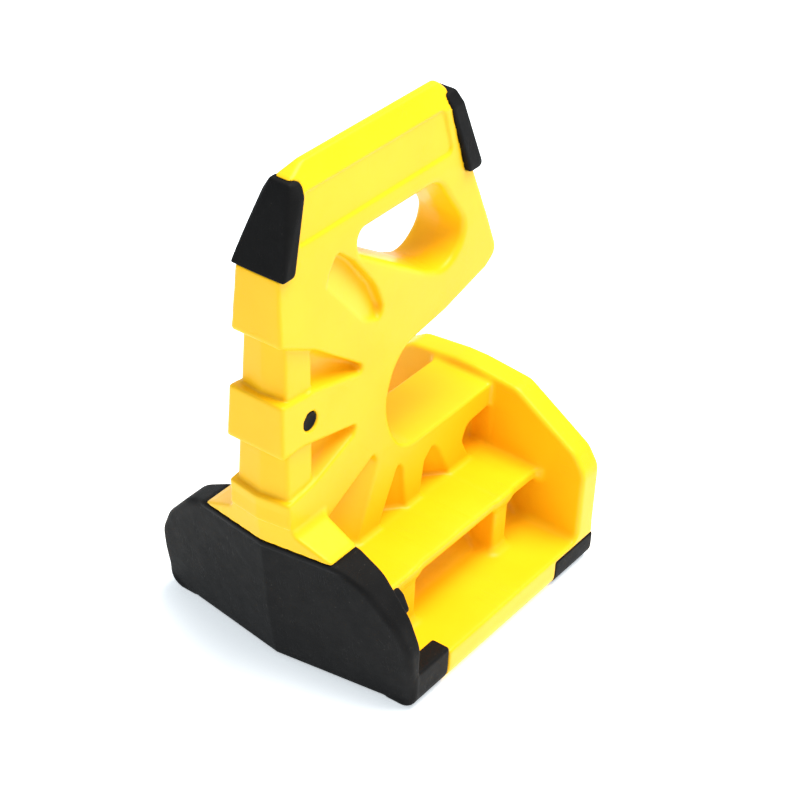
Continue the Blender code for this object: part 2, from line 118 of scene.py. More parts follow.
# Rubber pads of the handle
PAD_TOP = HEIGHT - 2.8
PAD_BOTTOM = PAD_LOW[2]
REAR_PAD_BOTTOM = REAR_PAD_LOW[2]
PAD_SIDE_PROUD = 1.7
PAD_DEEP = 1.2
PAD_CHEVRON = 0.02
PAD_TIP_HALF = 2.2
PAD_LEAN = 8.6          # how far the front pad leans back on its way up
PAD_FLARE = 0.75        # how much it widens for each unit backwards
PAD_PRESS = 0.15        # the rims of the pads are pressed this far into the plastic

# Rubber shoe and feet
SHOE_TOP = SHOE_HIGH[2]
SHOE_THICK = 2.0
BEAD = 0.3
BEAD_TALL = 2.0
BEAD_RISE = 0.8
FOOT_THICK = 2.0
EDGE_STRIP = SHOE_HIGH[0] - WALL_BACK
EDGE_UNDER = 9.0
STRIP_BACK = 0.1        # the strip's side stays this far inside the slab's
LIP_THICK = 1.6
LIP_OVER = 3.4
LIP_GAP = 0.1
FOOT_END = 0.25         # radius at the two ends of a foot
SEAM = 0.12             # visible gap between rubber and plastic
SEAT_RIM = 0.15         # radius of the plastic along a seam

FAR = 300.0             # farther than any point of the object


# ---------------------------------------------------------------- solids as distance fields

def arcs(corners, steps=9):
    """Outline through corners (u, v, radius): every corner with a radius becomes an arc that
    touches both of its sides, computed from the half angle between them."""
    points = []
    for i, corner in enumerate(corners):
        here = np.array(corner[:2], float)
        radius = corner[2] if len(corner) > 2 else 0.0
        back = np.array(corners[i - 1][:2], float) - here
        ahead = np.array(corners[(i + 1) % len(corners)][:2], float) - here
        room = min(np.linalg.norm(back), np.linalg.norm(ahead)) * 0.49
        back /= np.linalg.norm(back)
        ahead /= np.linalg.norm(ahead)
        half = math.acos(np.clip(back @ ahead, -1, 1)) / 2
        if radius == 0 or half > 1.55:
            points.append(here)
            continue
        trim = min(radius / math.tan(half), room)
        radius = trim * math.tan(half)
        centre = here + (back + ahead) / np.linalg.norm(back + ahead) * radius / math.sin(half)
        first, last = here + back * trim - centre, here + ahead * trim - centre
        turn = math.atan2(first[0] * last[1] - first[1] * last[0], first @ last)
        for a in np.linspace(0, turn, steps + 1):
            spin = np.array([[math.cos(a), -math.sin(a)], [math.sin(a), math.cos(a)]])
            points.append(centre + spin @ first)
    return np.array(points)


def outline(u, v, corners):
    """Signed distance to a closed outline: the least distance to any of its sides, negative where
    a ray from the point crosses the sides an odd number of times."""
    points = arcs(corners)
    u, v = np.broadcast_arrays(u, v)
    least = np.full(u.shape, FAR ** 2)
    inside = np.zeros(u.shape, bool)
    for (au, av), (bu, bv) in zip(points, np.roll(points, -1, axis=0)):
        eu, ev = bu - au, bv - av
        along = np.clip(((u - au) * eu + (v - av) * ev) / (eu * eu + ev * ev), 0, 1)
        least = np.minimum(least, (u - au - along * eu) ** 2 + (v - av - along * ev) ** 2)
        if av != bv:
            inside ^= ((av > v) != (bv > v)) & (u < eu * (v - av) / ev + au)
    return np.where(inside, -1, 1) * np.sqrt(least)


def mirrored(half):
    """Close an outline given for y >= 0 by its mirror image."""
    return list(half) + [(-c[0], *c[1:]) for c in reversed(half)]


def common(a, b, r=0.0):
    """Where both solids are: the larger distance, with an arc of radius r along the new edge."""
    if r == 0:
        return np.maximum(a, b)
    return np.minimum(-r, np.maximum(a, b)) + np.hypot(np.maximum(r + a, 0), np.maximum(r + b, 0))


def joined(a, b, r=0.0):
    """Both solids as one: the smaller distance, with a fillet of radius r in the new corner."""
    return -common(-a, -b, r)


def without(a, b, r=0.0):
    """The first solid with the second taken out, its rim rounded by r."""
    return common(a, -b, r)


def between(value, low, high):
    """Distance to the slice between two planes."""
    return np.abs(value - (low + high) / 2) - (high - low) / 2


def left_of(x, z, first, last):
    """Distance from the line through two points, positive on the left of the way between them."""
    (ax, az), (bx, bz) = first, last
    return ((bx - ax) * (z - az) - (bz - az) * (x - ax)) / math.hypot(bx - ax, bz - az)


def wings(y, z):
    """Front view of the front wall and of the shoe over it."""
    return outline(y, z, mirrored([(BASE_HALF, 0, FOOT_ROUND), (BASE_HALF, 20, 10), (36.5, 27.5, 12),
                                   (28, 37.4, 10), (8.0, WALL_TOP, 5)]))


def front_plane(x, y, z):
    """Front of the base: it slides back by CHEVRON for each unit sideways, leans back by FACE_LEAN
    down to LEAN_LOW and more steeply below. Above the wall it is the column's front."""
    slid = x - CHEVRON * y
    top = WALL_TOP + 1.2
    wall = CREASE + WALL_STEP
    upper = wall + FACE_LEAN * (top - z) / (top - LEAN_LOW) - slid
    steep = TOE_LEAN / (LEAN_LOW + 1)
    lower = (wall + FACE_LEAN + steep * (LEAN_LOW - z) - slid) / math.hypot(1, steep)
    return np.minimum(common(upper, lower, 0.6), np.maximum(top - z, CREASE - slid))


def thickness(y, z):
    """Front view of column and handle: thick below, a roof-shaped top."""
    return outline(y, z, mirrored([
        (COLUMN_HALF, 5, 0), (COLUMN_HALF, 52, 20), (HANDLE_LOW_HALF, HANDLE_LOW, 20),
        (TAPER_HALF, TAPER_LOW, 20), (BEVEL_HALF, BEVEL_LOW, 1.5), (TOP_HALF, HEIGHT, 0.6)]))


def side_view(x, z):
    """Handle, neck, hub and centre plate seen from the side."""
    inner = REAR_FACE - REAR_WALL + 2
    return outline(x, z, [
        (CREASE - 0.8, 6, 0), (CREASE - 0.8, 118.5, 3), (CREASE + 7.2, BEVEL_LOW + 3.4, 2),
        (CREASE + 14, HEIGHT, 2), (18.6, HEIGHT, 2), (21.8, BEVEL_LOW + 2.4, 2),
        (27.8, HEIGHT - 24.8, 4), (39.3, 88.2, 4.5), (34.5, 85.0, 3), (17, 80.6, 6),
        (-2.2, 78.0, 14), (-7.6, 66, 20), (-5.6, 56, 20), (0.5, WALL_TOP, 12),
        (inner, WALL_TOP, 0), (inner, 6, 0)])


def pocket(x, y, z, corners, rise=None, slope=0.0, r=1.6):
    """A side pocket: an outline cut down to the web with a fillet of radius r. Its floor climbs by
    slope towards one edge, where it meets the outer face. The edge is given by two points with
    the pocket on their left. In front of the post's back the pocket keeps its full depth."""
    web = np.maximum(y - WEB_HALF, WEB_FRONT - x)
    hole = without(outline(x, z, corners), web, r)
    if rise is None:
        return hole
    ramp = (COLUMN_HALF - y - slope * left_of(x, z, *rise)) / math.hypot(1, slope)
    return common(hole, np.minimum(ramp, x - POST_BACK + 1.0), r)


def windows(x, y, z):
    """Steps between the bands of the column, with a deep pocket behind the post at each."""
    front = CREASE - 14
    hub = CREASE + 30
    upper = pocket(x, y, z, [
        (front, HANDLE_LOW), (CREASE, HANDLE_LOW), (POST_BACK, 94.3, 14), (hub - 0.2, 81.4, 1.5),
        (hub - 0.8, 79.0, 1.5), (POST_BACK, 83.2, 12), (CREASE, MID_BAND_TOP), (front, MID_BAND_TOP)],
        ((POST_BACK, 81.2), (hub, 77.4)), 1.5, 2.2)
    lower = pocket(x, y, z, [
        (front, MID_BAND_LOW), (CREASE + 7, MID_BAND_LOW, 8), (hub - 2.5, 65.6, 1.2),
        (hub - 3.4, 62.8, 1.2), (POST_BACK, 57.4, 12), (CREASE, LOWER_BAND_TOP),
        (front, LOWER_BAND_TOP)], ((POST_BACK, 55.6), (hub, 63.0)), 1.5, 2.2)
    return np.minimum(upper, lower)


def fan(x, y, z):
    """Pockets between the ribs that fan out from the hub down to the shelf."""
    floor = SHELF_TOP
    cuts = [
        pocket(x, y, z, [(-12.2, 52.8, 1), (-9.6, 49.6, 1), (-17, floor, 1), (-31.0, floor, 1),
                         (-30.4, 43.5, 2), (-27.5, 45, 3)], ((-17, floor), (-9.6, 50.4)), 0.62),
        pocket(x, y, z, [(-1.4, 44.0, 1), (1.2, 41.6, 1.5), (3.2, floor, 1), (-8.8, floor, 1)],
               ((3.4, floor), (1.6, 42.2)), 0.8),
        pocket(x, y, z, [(13.7, 41.6, 1.5), (10.4, 38.4, 2), (9.0, floor, 1), (22.4, floor, 1),
                         (16.4, 39.6, 2)], ((22.8, floor), (15.6, 42)), 0.9),
        pocket(x, y, z, [(29.3, 39.6, 3), (39.4, 40.6, 1), (39.4, floor, 1), (31.2, floor, 3),
                         (27.4, 35.2, 2)])]
    result = cuts[0]
    for cut in cuts[1:]:
        result = np.minimum(result, cut)
    return result


def finger_hole(x, y, z):
    """Rounded three-cornered hole, wider by HOLE_FLARE for each unit towards a face."""
    hole = outline(x, z, [(-17.2, HOLE_TOP, 2.6), (13.6, HOLE_TOP, 6), (25.6, 100.0, 10),
                          (17.2, 92.4, 9), (8.5, 96.2, 12), (-17.2, HOLE_TOP - 5, 2.6)])
    return hole - HOLE_FLARE * y


def shelves(x, y, z):
    """Shelf on each side of a core, carried by two ribs with open bays between them."""
    inner = WALL_BACK - 5
    rear = REAR_FACE - REAR_WALL + 2
    plate = common(between(z, SHELF_BOTTOM, SHELF_TOP), y - SHELF_HALF, 0.9)
    core = outline(y, z, mirrored([(CORE_FOOT_HALF, 5, 0), (CORE_FOOT_HALF, SLAB_TOP, 2),
                                   (13.5, 17, 6), (CORE_HALF, SHELF_TOP - 1, 0)]))
    made = joined(plate, core, 2.4)
    rib = np.maximum(y - SHELF_HALF + RIB_INSET, between(z, 5, SHELF_TOP - 1.5))
    for low, high in ((inner - 1, -13.9), (20.4, 26.7)):
        made = joined(made, common(rib, between(x, low, high), 1.0), 2.2)
    return common(np.maximum(made, z - SHELF_TOP), between(x, inner, rear))


def handle(x, y, z):
    """Column and handle with their creased front edge."""
    solid = common(side_view(x, z), thickness(y, z), 0.7)
    return common(solid, CREASE - (x - CHEVRON * y), 0.6)


def pad_side(x, z, rear):
    """Side view of the rear or of the front pad of the handle."""
    if rear:
        return outline(x, z, [(24.4, REAR_PAD_BOTTOM, 1.4), (30.0, REAR_PAD_BOTTOM, 1.4),
                              (23.2, PAD_TOP, 1.4), (18.4, PAD_TOP, 2.0)])
    low = PAD_LOW[0]
    return outline(x, z, [(low, PAD_BOTTOM, 0.3), (low + 4.4, PAD_BOTTOM, 1.6),
                          (low + 12.0, PAD_TOP, 2.0), (low + 7.6, PAD_TOP, 1.0)])


def base(x, y, z):
    """Slab, front wall and arched rear wall, joined with fillets."""
    slab = outline(y, z, mirrored([(BASE_HALF, 0, FOOT_ROUND), (BASE_HALF, SLAB_TOP, 0.8)]))
    slab = common(slab, x - REAR_FACE, 1.0)
    front_wall = common(wings(y, z), x - WALL_BACK, 0.8)
    arch = outline(y, z, mirrored([(BASE_HALF, SLAB_TOP - 2, 0), (BASE_HALF, 31, 6), (36.6, 36.2, 6),
                                   (17, WALL_TOP + 1.3, 6), (3, WALL_TOP + 2.7, 12)]))
    rear_wall = common(arch, between(x, REAR_FACE - REAR_WALL, REAR_FACE), 1.3)
    return joined(joined(slab, front_wall, 1.2), rear_wall, 2.4)


def steps(x, y, z, face):
    """What is cut between the bands: the windows, less a post BAND_STEP below the bands' faces."""
    post = common(face + BAND_STEP, x - POST_BACK, 0.8)
    post = common(post, CREASE + BAND_STEP - (x - CHEVRON * y), 0.6)
    return without(windows(x, y, z), post, 0.3)


def panel(x, z, face):
    """Shallow flat recess along the top of the handle, PANEL_DEEP below its face."""
    shape = outline(x, z, [(-40.4, PANEL_LOW, 1.5), (19.6, PANEL_LOW, 1.5),
                           (16.8, PANEL_HIGH, 1.5), (-36.0, PANEL_HIGH, 1.5)])
    return common(shape, -face - PANEL_DEEP, 0.3)


def scoop(x, z, face):
    """Curved hollow in front of the finger hole. Its floor drops from the face by SCOOP_SLOPE for
    each unit away from its front edge, down to SCOOP_DEEP."""
    shape = outline(x, z, [(-25.6, 116.0, 1.5), (-19.6, 111.0, 12), (-11.6, 101.0, 14),
                           (-8.8, 94.0, 3), (-10.2, 91.0, 2.5), (-16.9, 93.0, 6), (-31.2, 109.0, 2)])
    away = left_of(x, z, (-31.4, 109.4), (-16.9, 92.4))
    return common(common(shape, -face - SCOOP_DEEP, 1.0), -face - SCOOP_SLOPE * away, 1.6)


def body_field(x, y, z):
    """The whole plastic moulding: base, shelves, column and handle joined with fillets and kept
    within the outer faces, then the pockets, the recesses and the seats of the rubber taken out."""
    face = thickness(y, z)
    solid = joined(base(x, y, z), shelves(x, y, z), 2.8)
    solid = joined(solid, common(side_view(x, z), face, 0.7), 1.6)
    solid = np.maximum(solid, common(common(y - BASE_HALF, -z, FOOT_ROUND), x - REAR_FACE, 1.0))
    solid = common(solid, front_plane(x, y, z), 0.6)
    cuts = ((steps(x, y, z, face), 0.55), (fan(x, y, z), 0.5), (finger_hole(x, y, z), 1.5),
            (panel(x, z, face), 0.3), (scoop(x, z, face), 0.5))
    for cut, rim in cuts:
        solid = without(solid, cut, rim)
    for seat in (plug_seat(x, z), shoe_seat(x, y, z), pad_seat(x, y, z, False),
                 pad_seat(x, y, z, True), foot_seat(x, y, z)):
        solid = without(solid, seat, SEAT_RIM)
    return solid


def plug_seat(x, z):
    """Round hole through the middle band."""
    return np.hypot(x - PLUG_AT[0], z - PLUG_AT[2]) - PLUG_RADIUS - SEAM


def pad_seat(x, y, z, rear):
    """What a pad takes out of the handle, PAD_DEEP below its surface: the pad's side view, smaller
    by PAD_PRESS, and again 1 further out, to leave no plastic outside the pad."""
    outwards = 1.0 if rear else -1.0
    zone = np.minimum(pad_side(x, z, rear), pad_side(x - outwards, z, rear)) + PAD_PRESS
    return common(zone, -handle(x, y, z) - PAD_DEEP - SEAM)


def shoe_seat(x, y, z):
    """What the shoe takes out of the plastic: its shell and the strips along the bottom edges."""
    core = np.maximum(wings(y, z), front_plane(x, y, z)) + SHOE_THICK + SEAM
    shell = np.maximum(np.maximum(x - WALL_BACK - SEAM, z - SHOE_TOP - SEAM), -core)
    block = between(y, BASE_HALF - EDGE_UNDER - SEAM, BASE_HALF + 5)
    block = np.maximum(block, between(z, -5, SLAB_TOP + 0.2))
    strip = np.maximum(between(x, WALL_BACK - 3, WALL_BACK + EDGE_STRIP + SEAM),
                       np.maximum(block, -slab_corner(y, z, SEAM)))
    return np.minimum(shell, strip)


def slab_corner(y, z, gap):
    """What is left of the slab's section where rubber wraps its bottom edge."""
    return common(y - (BASE_HALF - FOOT_THICK - gap), FOOT_THICK + gap - z, FOOT_ROUND - FOOT_THICK)


def foot_seat(x, y, z):
    """Rebate for the rubber feet under the rear corners."""
    block = np.maximum(FOOT_LOW[0] - SEAM - x, z - FOOT_HIGH[2] - SEAM)
    block = np.maximum(block, BASE_HALF - EDGE_UNDER - SEAM - y)
    return np.maximum(block, -slab_corner(y, z, SEAM))


def edge_strip(x, y, z):
    """Rubber round a bottom edge of the slab: the space outside the slab's corner, with a lip that
    reaches LIP_OVER inwards over the slab's top."""
    above = z - SLAB_TOP - LIP_GAP
    strip = common(common(y - BASE_HALF + STRIP_BACK, -z, FOOT_ROUND), z - SLAB_TOP - LIP_THICK, 0.8)
    strip = common(strip, BASE_HALF - EDGE_UNDER - y, 0.3)
    strip = without(strip, common(slab_corner(y, z, 0), above))
    strip = np.maximum(strip, np.minimum(above, BASE_HALF - FOOT_THICK - LIP_OVER - y))
    return common(strip, between(x, WALL_BACK - 1.5, WALL_BACK + EDGE_STRIP), 0.7)


def shoe_field(x, y, z):
    """Rubber shoe: a shell over the front wall with a bead along its top edge, a strip with a lip
    along each bottom edge and a small tab behind each rim."""
    bead = BEAD * np.clip((z - SHOE_TOP + BEAD_TALL) / BEAD_RISE, 0, 1)
    front = front_plane(x, y, z)
    outer = common(wings(y, z), front - bead, 1.6)
    core = common(wings(y, z) + SHOE_THICK, front + SHOE_THICK, 0.5)
    shell = common(common(outer, x - WALL_BACK, 0.7), z - SHOE_TOP, 0.5)
    shell = without(shell, core, 0.3)
    tab = outline(y, z, [(29.2, 33.4, 1.4), (32.2, 31.2, 1.4), (34.6, 26.4, 1.4), (31.6, 26.2, 1.2)])
    tab = common(tab, between(x, WALL_BACK - 2, WALL_BACK + 3.0), 0.8)
    return joined(joined(shell, edge_strip(x, y, z), 0.5), tab, 0.4)


def pad_field(rear):
    """Rubber skin over one edge of the handle, PAD_DEEP into it. It stands out less and less
    upwards. The front one also narrows: its half width shrinks to PAD_TIP_HALF with height and
    grows by PAD_FLARE for each unit backwards."""
    wide = TAPER_HALF + PAD_SIDE_PROUD

    def field(x, y, z):
        front = outline(y, z, mirrored([
            (wide, REAR_PAD_BOTTOM - 2, 0), (wide, PAD_BOTTOM, 10), (BEVEL_HALF + 0.5, BEVEL_LOW, 2),
            (TOP_HALF + 0.5, HEIGHT, 0)]))
        pad = common(pad_side(x - PAD_CHEVRON * y, z, rear), front, 0.7)
        if not rear:
            share = (z - PAD_BOTTOM + 1) / (PAD_TOP - PAD_BOTTOM + 2)
            behind = x - PAD_LOW[0] + 1.0 - PAD_LEAN * share
            half = wide - (wide - PAD_TIP_HALF) * share + PAD_FLARE * behind
            pad = common(pad, (y - half) / math.hypot(1, PAD_FLARE), 0.6)
        return without(pad, handle(x, y, z) + PAD_DEEP)
    return field


# ---------------------------------------------------------------- from field to mesh

NORMAL_REACH = 0.8      # grid steps to each side over which a normal is measured
EDGE_REACH = 2.0        # grid steps from a point at which the attribute "edge" is measured
NEVER_ZERO = 1e-5       # so that no grid point lies on the surface itself


def unit(vectors):
    """Rows scaled to length one."""
    return vectors / np.maximum(np.linalg.norm(vectors, axis=1), 1e-6)[:, None]


def corner_values(grid, cells, offset):
    """Grid values at one corner of each cell."""
    return grid[cells[:, 0] + offset[0], cells[:, 1] + offset[1], cells[:, 2] + offset[2]]


def sample(grid, where):
    """Value between grid points, by weighting the eight around each place."""
    cells = np.clip(np.floor(where).astype(int), 0, np.array(grid.shape) - 2)
    part = where - cells
    total = np.zeros(len(where))
    for offset in np.ndindex(2, 2, 2):
        weight = np.prod(np.where(offset, part, 1 - part), axis=1)
        total += weight * corner_values(grid, cells, offset)
    return total


def slope_at(grid, where, reach):
    """Slope of the field at each place, from differences over reach to both sides on each axis."""
    return np.stack([sample(grid, where + reach * axis) - sample(grid, where - reach * axis)
                     for axis in np.eye(3)], axis=1) / (2 * reach)


def net(grid):
    """Faces where the field changes sign: one point in each cell that has both signs, at the mean
    of the crossings on its twelve edges, and a four-sided face round each edge that is crossed."""
    inside = grid < 0
    count = np.zeros([n - 1 for n in grid.shape], np.int8)
    for i, j, k in np.ndindex(2, 2, 2):
        count += inside[i:i + count.shape[0], j:j + count.shape[1], k:k + count.shape[2]]
    cells = np.argwhere((count > 0) & (count < 8))
    number = np.full(count.shape, -1)
    number[tuple(cells.T)] = np.arange(len(cells))
    total = np.zeros((len(cells), 3))
    found = np.zeros(len(cells))
    faces = []
    for axis in range(3):
        step = np.eye(3, dtype=int)[axis]
        side, up = (np.eye(3, dtype=int)[(axis + n) % 3] for n in (1, 2))
        for start in (0 * side, side, up, side + up):
            a = corner_values(grid, cells, start)
            b = corner_values(grid, cells, start + step)
            crossed = (a < 0) != (b < 0)
            share = np.where(crossed, a / np.where(crossed, a - b, 1), 0)
            total += (start + share[:, None] * step) * crossed[:, None]
            found += crossed
        first = inside[tuple(slice(0, n - s) for n, s in zip(inside.shape, step))]
        second = inside[tuple(slice(s, None) for s in step)]
        edges = np.argwhere(first != second)
        ring = [number[tuple((edges - shift).T)] for shift in (0 * side, side, side + up, up)]
        face = np.stack(ring, axis=1)
        leaving = first[tuple(edges.T)]
        face[~leaving] = face[~leaving][:, ::-1]
        faces.append(face)
    return cells + total / found[:, None], np.concatenate(faces)


def moulding(name, field, low, high, step, most):
    """Closed mesh of a solid given by its distance field between two corners, mirrored about
    y = 0: points of the net are moved twice along the field's slope onto its zero, the mesh is
    thinned to about the most triangles allowed, and its normals are the slope's directions. The
    attribute "edge" is the field's mean a little away from a point on all sides, so it is
    positive on outer edges and negative in corners and grooves."""
    low, high = np.array(low, float) - 2 * step, np.array(high, float) + 2 * step
    xs = np.arange(low[0], high[0] + step, step)
    ys = np.arange(0, high[1] + step, step)
    zs = np.arange(low[2], high[2] + step, step)
    half = field(xs[:, None, None], ys[None, :, None], zs[None, None, :])
    half = np.broadcast_to(half, (len(xs), len(ys), len(zs)))
    grid = np.concatenate([half[:, :0:-1], half], axis=1).astype(np.float32)
    grid[np.abs(grid) < NEVER_ZERO] = NEVER_ZERO
    origin = np.array([xs[0], -ys[-1], zs[0]])
    spots, faces = net(grid)
    for _ in range(2):
        lean = slope_at(grid, spots, 0.5)
        move = sample(grid, spots)[:, None] * lean / np.maximum((lean ** 2).sum(1), 0.02)[:, None]
        spots = spots - np.clip(move, -0.4, 0.4)
    mesh = bpy.data.meshes.new(name)
    mesh.from_pydata((origin + spots * step) * MM, [], faces)
    made = bpy.data.objects.new(name, mesh)
    bpy.context.scene.collection.objects.link(made)
    if 2 * len(faces) > most:
        thin = made.modifiers.new("thin", "DECIMATE")
        thin.ratio = most / (2 * len(faces))
        bpy.context.view_layer.update()
        thinned = made.evaluated_get(bpy.context.evaluated_depsgraph_get())
        made.data = bpy.data.meshes.new_from_object(thinned)
        made.modifiers.clear()
        mesh = made.data
    spots = np.zeros(len(mesh.vertices) * 3, np.float32)
    mesh.vertices.foreach_get("co", spots)
    spots = (spots.reshape(-1, 3) / MM - origin) / step
    around = sum(sample(grid, spots + EDGE_REACH * s * axis) for axis in np.eye(3) for s in (-1, 1)) / 6
    edge = mesh.attributes.new("edge", "FLOAT", "POINT")
    edge.data.foreach_set("value", np.clip(around, -2, 2).astype(np.float32))
    mesh.shade_smooth()
    mesh.normals_split_custom_set_from_vertices(unit(slope_at(grid, spots, NORMAL_REACH)))
    mesh.name = name
    return made


# ---------------------------------------------------------------- swept pieces

def grid_mesh(name, rows):
    """Mesh of a surface given as rows of points around closed rings, capped at both ends."""
    rows = np.asarray(rows)
    count, around = rows.shape[:2]
    index = np.arange(count * around).reshape(count, around)
    a, b = index[:-1], index[1:]
    faces = np.stack([a, np.roll(a, -1, 1), np.roll(b, -1, 1), b], axis=-1).reshape(-1, 4).tolist()
    faces += [index[0][::-1].tolist(), index[-1].tolist()]
    mesh = bpy.data.meshes.new(name)
    mesh.from_pydata(rows.reshape(-1, 3) * MM, [], faces)
    made = bpy.data.objects.new(name, mesh)
    bpy.context.scene.collection.objects.link(made)
    mesh.shade_smooth()
    mesh.set_sharp_from_angle(angle=math.radians(50))
    return made


def foot(name, side):
    """Rubber foot: an angle section in (y, z) carried along X. Over the last FOOT_END at each end
    the section moves inwards along a quarter circle, so that both ends are rounded."""
    wall = BASE_HALF - FOOT_THICK
    inner = BASE_HALF - EDGE_UNDER
    section = arcs([(inner, 0, 0.3), (BASE_HALF, 0, FOOT_ROUND), (BASE_HALF, FOOT_HIGH[2], 0.6),
                    (wall, FOOT_HIGH[2], 0.5), (wall, FOOT_THICK, FOOT_ROUND - FOOT_THICK),
                    (inner, FOOT_THICK, 0.3)], 6)
    along = unit(unit(section - np.roll(section, 1, 0)) + unit(np.roll(section, -1, 0) - section))
    inward = np.stack([-along[:, 1], along[:, 0]], axis=1)
    first = [(FOOT_LOW[0] + FOOT_END * (1 - math.cos(a)), FOOT_END * (1 - math.sin(a)))
             for a in np.linspace(0, math.pi / 2, 6)]
    middle = [(x, 0.0)
              for x in np.linspace(FOOT_LOW[0] + FOOT_END + 1, FOOT_HIGH[0] - FOOT_END - 1, 12)]
    last = [(FOOT_LOW[0] + FOOT_HIGH[0] - x, inset) for x, inset in reversed(first)]
    rows = []
    for x, inset in first + middle + last:
        ring = section + inward * inset
        rows.append(np.column_stack([np.full(len(ring), x), side * ring[:, 0], ring[:, 1]]))
    if side < 0:
        rows = [row[::-1] for row in rows]
    return grid_mesh(name, rows)


def plug(name):
    """Rubber plug through the middle band: a radius that depends on the place along Y, turned
    about its axis, with a rounded rim and a slightly hollow face at each end."""
    reach = PLUG_HIGH[1]
    profile = [(0.15, reach - 0.35), (1.2, reach - 0.3), (1.8, reach - 0.12), (2.2, reach),
               (PLUG_RADIUS - 0.1, reach - 0.08), (PLUG_RADIUS, reach - 0.4)]
    profile += [(r, -y) for r, y in reversed(profile)]
    turn = np.linspace(0, 2 * math.pi, 40, endpoint=False)
    return grid_mesh(name, [np.column_stack([PLUG_AT[0] + r * np.cos(turn), np.full(len(turn), y),
                                             PLUG_AT[2] + r * np.sin(turn)]) for r, y in profile])


# ---------------------------------------------------------------- materials

class Wire:
    """A socket of a material. Arithmetic on it adds Math nodes."""

    def __init__(self, paint, socket):
        self.paint = paint
        self.socket = socket

    def _with(self, operation, first, second):
        """A Math node on two numbers or sockets."""
        return self.paint.add("ShaderNodeMath", {"operation": operation}, {0: first, 1: second})

    def __add__(self, other):
        return self._with("ADD", self, other)

    def __radd__(self, other):
        return self._with("ADD", other, self)

    def __sub__(self, other):
        return self._with("SUBTRACT", self, other)

    def __rsub__(self, other):
        return self._with("SUBTRACT", other, self)

    def __mul__(self, other):
        return self._with("MULTIPLY", self, other)

    def __rmul__(self, other):
        return self._with("MULTIPLY", other, self)


class Paint:
    """A node material built round one Principled shader."""

    def __init__(self, name):
        self.material = bpy.data.materials.new(name)
        self.material.use_nodes = True
        self.tree = self.material.node_tree
        self.shader = self.tree.nodes["Principled BSDF"]

    def add(self, kind, settings=None, values=None, out=0):
        """Add a node: its settings first, then the values or links of its sockets."""
        node = self.tree.nodes.new(kind)
        for key, value in (settings or {}).items():
            setattr(node, key, value)
        for key, value in (values or {}).items():
            self._feed(node.inputs[key], value)
        return Wire(self, node.outputs[out])

    def _feed(self, socket, value):
        """Link a socket to a wire, or set its constant."""
        if isinstance(value, Wire):
            self.tree.links.new(value.socket, socket)
        else:
            socket.default_value = value

    def places(self):
        """Object coordinates in millimetres."""
        coords = self.add("ShaderNodeTexCoord", out="Object")
        return self.add("ShaderNodeVectorMath", {"operation": "SCALE"}, {0: coords, "Scale": 1000.0})

    def noise(self, where, size, detail=3.0, rough=0.5):
        """Soft noise from 0 to 1 with lumps of a size in millimetres."""
        return self.add("ShaderNodeTexNoise", None,
                        {"Vector": where, "Scale": 1.0 / size, "Detail": detail, "Roughness": rough})

    def band(self, value, low, high):
        """0 below low, 1 above high, smooth between."""
        return self.add("ShaderNodeMapRange", {"interpolation_type": "SMOOTHSTEP"},
                        {"Value": value, "From Min": low, "From Max": high})

    def mix(self, share, first, second):
        """Colour between two colours: inputs 6 and 7 and output 2 are the node's colour sockets."""
        return self.add("ShaderNodeMix", {"data_type": "RGBA"}, {0: share, 6: first, 7: second}, out=2)

    def bump(self, height, distance, strength):
        """Bumped normal from a height in units of distance, which is in metres."""
        return self.add("ShaderNodeBump", None,
                        {"Height": height, "Distance": distance, "Strength": strength})

    def finish(self, **sockets):
        """Feed the shader's sockets, named with _ for a space, and return the material."""
        for key, value in sockets.items():
            self._feed(self.shader.inputs[key.replace("_", " ")], value)
        return self.material


def edges(paint):
    """The mesh's attribute "edge", which is 0 on a mesh that has none."""
    return paint.add("ShaderNodeAttribute", {"attribute_name": "edge"}, out="Fac")


def scratches(paint, where, turn, stretch, size, thin):
    """Thin straight marks: noise stretched along one direction, kept only near its middle value."""
    turned = paint.add("ShaderNodeMapping", None, {"Vector": where, "Rotation": turn, "Scale": stretch})
    lines = paint.noise(turned, size, 2.0)
    near = paint.add("ShaderNodeMath", {"operation": "ABSOLUTE"}, {0: lines - 0.5})
    return 1 - paint.band(near, 0.0, thin)


